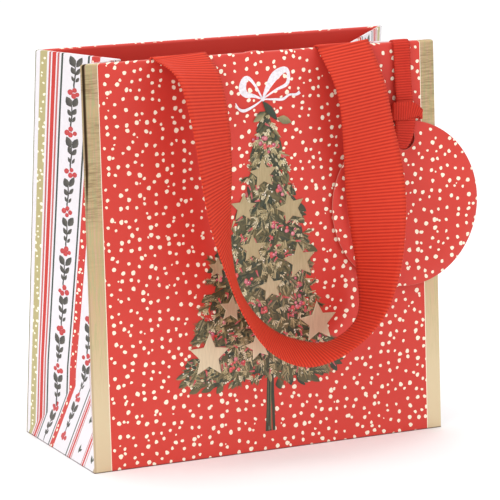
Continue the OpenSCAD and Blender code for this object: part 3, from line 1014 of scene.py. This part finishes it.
def draw_garland(art, rng, centre, low, high):
    """A climbing sprig, over and over: berries, a stem, then three pairs of growing leaves"""
    dark, worn = (0.050, 0.045, 0.040), (0.12, 0.11, 0.09)
    v = low
    while v < high:
        side = centre + rng.uniform(-0.5, 0.5)
        foot = max(v + 1, 0.6)
        art.stroke([(side, foot), (side + 0.4, v + 4), (side, v + 8), (side + 0.3, v + 12)],
                   [0.4, 0.7, 0.6, 0.5], dark)
        for bx, bv in ((-1.7, 0.4), (0.1, -0.5), (1.7, 0.8), (-0.1, 1.9)):
            place = (side + bx + rng.uniform(-0.4, 0.4), v + bv + rng.uniform(-0.4, 0.4))
            if place[1] > 1.5:
                art.disc(*place, rng.uniform(0.9, 1.3), (0.50, 0.035, 0.045), (0.56, 0.07, 0.06), 9)
        for above, length, width in ((5.0, 2.6, 1.3), (8.2, 3.4, 1.9), (11.6, 4.6, 2.8)):
            for hand in (-1, 1):
                art.leaf(side + 0.3 * hand, v + above + rng.uniform(-0.4, 0.4),
                         math.pi / 2 - hand * rng.uniform(0.45, 0.75), length * rng.uniform(0.9, 1.1),
                         width * rng.uniform(0.9, 1.15), dark, worn, hand * 0.1)
        v += 17.0


def draw_sprigs(art, rng, centre, low, high, step):
    dark = (0.045, 0.055, 0.040)
    v = low
    while v < high:
        turn = math.pi / 2 + rng.uniform(-0.7, 0.7)
        art.leaf(centre, v, turn, 3.8, 1.5, dark, (0.10, 0.11, 0.07))
        art.leaf(centre, v + 0.8, turn + 1.0, 2.6, 1.1, dark, (0.10, 0.11, 0.07))
        v += step


# ---------------------------------------------------------------- ribbons

RIBBON_W, RIBBON_T, RIB = 25.0, 0.6, 1.4  # width, thickness and pitch of the ribs
TAG_RIB = 1.1
HANDLE_X = 38      # the ends' middle lines
HANDLE_END = 39    # from the rim down to the glued ends' edges
BACK_EXIT = 14     # from the rim down to where the back handle leaves the hem
RIM_Y, RIM_Z = -MOUTH_D / 2, BAG_H

# Route of the front handle: x, y and z from the rim, turn of the width about the vertical, its rise
FRONT_ROUTE = [
    (-38, -0.1, 1, 180, 0), (-35.5, -14, -7, 199, 7), (-34, -22, -26, 208, 4), (-33, -25, -45, 215, -1),
    (-31, -25, -63, 225, -7), (-27, -24.5, -82, 239, -11), (-20.5, -24, -100, 248, -13),
    (-9.5, -24, -115, 252, -17), (6, -24.5, -123.5, 260, -15), (24, -26.5, -122.5, 262, 4),
    (38, -27, -111.5, 266, 10), (43.5, -24, -93, 288, 10), (45.5, -19.5, -73, 312, 8),
    (45.5, -16, -54, 340, 5), (43.5, -14, -35, 362, 5), (41, -11, -15.5, 368, 3), (38, -0.1, 1, 360, 0)]
# Left half of the back handle, from where it leaves the hem
BACK_HALF_ROUTE = [
    (-38, -2.2, -0.5, 180, 0), (-38.5, -3.2, -15, 180, 0), (-41, -3.6, -34, 186, 0),
    (-45, -3.8, -55, 195, 0), (-47.5, -3.8, -76, 208, 0), (-46, -3.6, -96, 222, 0),
    (-39, -3.4, -115, 238, 0), (-24, -3.4, -132, 254, 0), (0, -3.4, -142, 270, 0)]


def local_front(x, y, z):
    """A point on the front panel: y is the distance in from its outer face, z is up the panel"""
    p = corner_post(z) + INWARD * y
    return np.array([x, p[1], p[2]])


def resample(path, step):
    """Points at even distances along a path of (x, y, z, turn, rise), with its sharp bends eased"""
    path = np.array(path, dtype=float)
    gaps = np.linalg.norm(np.diff(path[:, :3], axis=0), axis=1)
    keep = np.concatenate([[True], gaps > 1e-6])
    path = path[keep]
    distance = np.concatenate([[0], np.cumsum(gaps[gaps > 1e-6])])
    count = int(round(distance[-1] / step))
    at = np.linspace(0, distance[-1], count + 1)
    even = np.stack([np.interp(at, distance, path[:, k]) for k in range(path.shape[1])], axis=1)
    reach = max(1, int(round(0.7 / step)))
    eased = even.copy()
    for k in range(reach, len(even) - reach):
        eased[k] = even[k - reach:k + reach + 1].mean(axis=0)
    return eased, distance[-1]


def ribbon_frames(path):
    """Centre, width direction and face normal at each point of a resampled path"""
    centres = path[:, :3]
    along = np.gradient(centres, axis=0)
    along /= np.linalg.norm(along, axis=1)[:, None]
    turn, rise = np.radians(path[:, 3]), np.radians(path[:, 4])
    width = np.stack([np.cos(turn) * np.cos(rise), np.sin(turn) * np.cos(rise), np.sin(rise)], axis=1)
    width -= along * (width * along).sum(axis=1)[:, None]
    width /= np.linalg.norm(width, axis=1)[:, None]
    return centres, width, np.cross(along, width)


def tube_faces(rows, size):
    """Quads between rows of points, each row a closed ring of the same size"""
    faces = []
    for i in range(rows - 1):
        for k in range(size):
            a, b = i * size + k, i * size + (k + 1) % size
            faces.append([a, b, b + size, a + size])
    return faces


def ribbon(name, path, width_mm, thickness, rib, material, columns=10, shares=(1.0,)):
    """A closed ribbon with raised ribs across it and a finely notched edge. The shares of its width
    are at even steps along it."""
    path, length = resample(path, rib / 6)
    centres, widths, normals = ribbon_frames(path)
    rows = len(path)
    shares = np.interp(np.linspace(0, len(shares) - 1, rows), range(len(shares)), shares)
    points, uv_at = [], []
    ring = [(k / columns * 2 - 1, 1) for k in range(columns + 1)]
    ring += [(k / columns * 2 - 1, -1) for k in range(columns, -1, -1)]
    for i in range(rows):
        v = length * i / (rows - 1)
        wave = math.cos(2 * math.pi * v / rib)
        half = width_mm / 2 * (1 + 0.010 * wave) * shares[i]
        for across, face in ring:
            lift = face * (thickness / 2 + 0.13 * wave * (1 - across ** 8))
            points.append(centres[i] + widths[i] * across * half + normals[i] * lift)
            uv_at.append((across * width_mm / 2, v))
    size = len(ring)
    faces = tube_faces(rows, size)
    faces.append(list(range(size))[::-1])
    faces.append([(rows - 1) * size + k for k in range(size)])
    uv = [uv_at[v] for face in faces for v in face]
    return new_object(name, mesh_of(name, points, faces, uv), [material])


def arc(centre, radius, start, stop, x, turn, count=10):
    """Part of a circle in the plane square to x, in the front panel's own frame, degrees"""
    out = []
    for k in range(count + 1):
        t = math.radians(lerp(start, stop, k / count))
        p = local_front(x, centre[0] + radius * math.cos(t), centre[1] + radius * math.sin(t))
        out.append((*p, turn, 0))
    return out


def end_over_rim(x, turn, layer, low, dip):
    """From the glued end, up inside the hem and over the rim. dip is the angle where it lets go."""
    inside = 2.2 + layer
    radius = inside / 2 + 0.35
    centre = (inside - radius, PANEL_H + 0.5 - radius)
    straight = [(*local_front(x, inside, z), turn, 0) for z in np.linspace(low, centre[1], 12)]
    return straight + arc(centre, radius, 0, dip, x, turn)


def front_handle_path():
    loop = smooth_path([(x, RIM_Y + y, RIM_Z + z, turn, rise) for x, y, z, turn, rise in FRONT_ROUTE], 12)
    left = end_over_rim(-HANDLE_X, 180, 0.35, PANEL_H - HANDLE_END, 100)
    right = end_over_rim(HANDLE_X, 360, 0.35, PANEL_H - HANDLE_END, 100)
    return left + [tuple(p) for p in loop] + right[::-1]


def back_route():
    exit_y = HALF_SHEET - (PANEL_H - BACK_EXIT) * math.sin(LEAN) - 2.3
    half = [(x, exit_y + y, BAG_H - BACK_EXIT + z, turn, rise) for x, y, z, turn, rise in BACK_HALF_ROUTE]
    other = [(-x, y, z, 540 - turn, rise) for x, y, z, turn, rise in half[-2::-1]]
    return smooth_path(half + other, 12)


def back_end_path(x):
    """From the glued end up the hem, folded over itself to where the loop begins"""
    up = [local_front(x, 2.55, z) for z in np.linspace(PANEL_H - HANDLE_END, PANEL_H - BACK_EXIT, 10)]
    up = [(p[0], -p[1], p[2]) for p in up]
    loop_start = back_route()[0]
    top = (x, (up[-1][1] + loop_start[1]) / 2, up[-1][2] + 1.4)
    bend = [up[-1], (x, up[-1][1] - 0.25, up[-1][2] + 1.0), top,
            (x, loop_start[1] + 0.3, loop_start[2] + 1.2), (x, loop_start[1], loop_start[2])]
    path = up[:-1] + [tuple(p) for p in smooth_path(bend, 6)]
    return [(*p[:3], 180, 0) for p in path]


# ---------------------------------------------------------------- tag

TAG_X, TAG_HOLE_Z = 66.0, 127.5
TAG_W = 7.8
LEGS_W = 9.9   # both legs of the loop, spread side by side, where they leave the hitch
TAG_R, TAG_T, HOLE_R = 35.5, 0.6, 5.0
TAG_CENTRE_Z = TAG_HOLE_Z - 28
TAG_FRONT = 1.8  # the tag's front face, in front of the panel


def tag_mesh():
    """The tag: rings run from the hole to the rim, on the front, round the edge and on the back"""
    count, rings, soft = 96, 8, 0.12
    spread = [(k / rings, {0: soft, rings: -soft}.get(k, 0)) for k in range(rings + 1)]
    sequence = [(t, grow, 0.0) for t, grow in spread]
    sequence += [(1, 0, soft), (1, 0, TAG_T - soft)]
    sequence += [(t, grow, TAG_T) for t, grow in reversed(spread)]
    sequence += [(0, 0, TAG_T - soft), (0, 0, soft)]
    points, uv_at = [], []
    for t, grow, depth in sequence:
        for k in range(count):
            a = 2 * math.pi * k / count
            spoke = np.array([math.cos(a), math.sin(a)])
            inner = np.array([TAG_X, TAG_HOLE_Z]) + (HOLE_R + grow) * spoke
            outer = np.array([TAG_X, TAG_CENTRE_Z]) + (TAG_R + grow) * spoke
            x, z = lerp(inner, outer, t)
            curl = 0.5 * ((z - TAG_CENTRE_Z) / TAG_R) ** 2 * (1 if z < TAG_CENTRE_Z else 0.2)
            points.append(local_front(x, -TAG_FRONT + depth - curl, z))
            uv_at.append((x, z))
    faces, slots = [], []
    total = len(sequence)
    for i in range(total):
        j = (i + 1) % total
        for k in range(count):
            m = (k + 1) % count
            faces.append([i * count + k, i * count + m, j * count + m, j * count + k])
            on_back = rings + 2 < i < total - 3
            slots.append(0 if i < rings else 1 if on_back else 2)
    uv = [uv_at[v] for face in faces for v in face]
    return mesh_of("tag_card_sheet", points, faces, uv, slots)


def tag_strap_path():
    over = end_over_rim(TAG_X, 180, 0.5, PANEL_H - 22, 150)
    down = [(-1.2, PANEL_H - 0.9), (-1.3, PANEL_H - 5), (-1.4, 158), (-1.8, 150), (-2.9, 142),
            (-3.2, 137)]
    return over + [(*local_front(TAG_X, y, z), 180, 0) for y, z in down]


def tag_legs_path():
    """The loop's two legs, which drift to the left on their way down through the hole"""
    down = [(-3.2, 139), (-3.3, 135), (-3.2, 131.5), (-2.9, 128.5), (-2.5, 126.2), (-2.0, 124.6),
            (-1.4, 123.3), (-0.9, 122.9)]
    top, tip = down[0][1], down[-1][1]
    path = []
    for y, z in smooth_path(down, 6):
        drift = 1.7 * ((top - z) / (top - tip)) ** 2
        path.append((*local_front(TAG_X - 0.1 - drift, y, z), 180, 0))
    return path


def hitch_path():
    """The band that wraps the strap: an oval round it that drops to a corner on the right"""
    out = []
    for k in range(41):
        t = 2 * math.pi * k / 40 + math.pi / 2
        x = TAG_X + 0.8 + 7.2 * math.cos(t)
        y = -3.5 - 1.25 * math.sin(t)
        z = 139.4 - 2.5 * max(0.0, math.cos(t)) ** 2
        out.append((*local_front(x, y, z), 90, 90 + 6 * math.sin(t)))
    return out


# Shares of the ribbon's width at even steps along the legs and the hitch
LEGS_WIDTHS = (1.0, 0.98, 0.95, 0.88, 0.72, 0.5)
HITCH_WIDTHS = (1.05, 1.05, 1.0, 0.9, 0.95, 1.0, 0.9, 0.6, 0.32, 0.8, 1.05)


# ---------------------------------------------------------------- assembly


def paint_cad(names, material):
    for name in names:
        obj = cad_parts[name]
        obj.data.materials.clear()
        obj.data.materials.append(material)


make_camera()
make_studio()

PRINTED = printed_card()
INNER = plain_card("white_card_inside", (0.86, 0.85, 0.83), (0.78, 0.77, 0.75))
BOARD = plain_card("grey_board", (0.56, 0.53, 0.48), (0.44, 0.41, 0.37), 0.85)
BOTTOM = plain_card("red_card_bottom", (0.72, 0.05, 0.04), (0.62, 0.04, 0.03), 0.45)
# the groove and crest colours are the ribs' painted shade and painted highlight
RIBBON = grosgrain("red_grosgrain", RIB, (0.42, 0.018, 0.010), (0.70, 0.056, 0.024))
# painted shade: the tag's narrow ribbon gets darker colours than the handle's ribbon
TAG_RIBBON_SHADE = grosgrain("narrow_grosgrain_shade", TAG_RIB, (0.40, 0.016, 0.009), (0.60, 0.034, 0.018))
INK = painted_print()
FOIL = star_foil()

paint_cad(["bottom_outer_flap", "bottom_inner_flap"], BOTTOM)
paint_cad(["bottom_left_flap", "bottom_right_flap", "glue_seam"], INNER)
paint_cad(["base_board", "front_rim_board", "back_rim_board"], BOARD)

bag = make_bag(PRINTED, INNER)
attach(bag["front_sheet"], "front")
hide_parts("front_panel", "front_hem")
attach(bag["back_sheet"], "root")
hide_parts("back_panel", "back_hem")
for side in ("left", "right"):
    piece = bag[side + "_gusset_sheet"]
    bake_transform(piece)
    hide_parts(*[f"{side}_{part}" for part in (
        "gusset_rear", "gusset_front", "gusset_rear_hem", "gusset_front_hem", "corner_rear", "corner_front",
        "base_triangle")])

tree = Artwork()
draw_tree(tree, random.Random(7))
draw_crown(tree)
draw_bow(tree)
for side, place, body in (("front", on_front, "front"), ("back", on_back, "root")):
    name = side + "_tree_print"
    print_piece = new_object(name, tree.mesh(name, place), [INK])
    name = side + "_foil_stars"
    stars = new_object(name, star_mesh(name, STARS, place, tree.top()), [FOIL])
    for piece in (print_piece, stars):
        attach(piece, body)

for side, sign in (("left", -1), ("right", 1)):
    rng = random.Random(11)
    garland = Artwork()
    draw_garland(garland, rng, BACK_FOLD - 0.250 * GUSSET, -1.6, GARLAND_TOP)
    draw_garland(garland, rng, BACK_FOLD - 0.475 * GUSSET, 6.4, GARLAND_TOP)
    draw_sprigs(garland, rng, BACK_FOLD - 0.72 * GUSSET, 4, SPRIG_TOP, 13)
    draw_sprigs(garland, rng, BACK_FOLD - 0.92 * GUSSET, 3, SPRIG_TOP, 11)
    name = side + "_garland_print"
    piece = new_object(name, garland.mesh(name, on_gusset(sign)), [INK])
    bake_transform(piece)

front_ribbon = ribbon("front_handle_ribbon", front_handle_path(), RIBBON_W, RIBBON_T, RIB, RIBBON)
fold_from = tuple(local_front(0, 1.4, PANEL_H) * MM)
fold_to = tuple(local_front(0, -0.6, PANEL_H) * MM)
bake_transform(front_ribbon)
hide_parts("front_handle", "front_ribbon_left_end", "front_ribbon_right_end")

back_loop = ribbon("back_handle_ribbon", back_route(), RIBBON_W, RIBBON_T, RIB, RIBBON)
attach(back_loop, "back_handle")
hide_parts("back_handle")
for side, x in (("left", -HANDLE_X), ("right", HANDLE_X)):
    piece = ribbon(f"back_ribbon_{side}_fold", back_end_path(x), RIBBON_W, RIBBON_T, RIB, RIBBON)
    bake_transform(piece)
    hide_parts(f"back_ribbon_{side}_end")

strap = ribbon("tag_strap_ribbon", tag_strap_path(), TAG_W, 0.8, TAG_RIB, TAG_RIBBON_SHADE, 6)
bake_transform(strap)
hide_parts("tag_strap", "tag_ribbon_end")
legs = ribbon("tag_leg_ribbon", tag_legs_path(), LEGS_W, 0.7, TAG_RIB, TAG_RIBBON_SHADE, 6, LEGS_WIDTHS)
hitch = ribbon("tag_hitch_ribbon", hitch_path(), TAG_W, 0.5, TAG_RIB, TAG_RIBBON_SHADE, 6, HITCH_WIDTHS)
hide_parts("tag_hitch")
for piece in (legs, hitch):
    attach(piece, "tag_strap")

TAG_BACK = plain_card("cream_card", (0.80, 0.73, 0.65), (0.72, 0.65, 0.57))
TAG_EDGE = plain_card("tag_edge", (0.60, 0.20, 0.15), (0.55, 0.12, 0.09))
tag = new_object("tag_card_sheet", tag_mesh(), [dotted_card(), TAG_BACK, TAG_EDGE])
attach(tag, "tag")
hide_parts("tag_card")
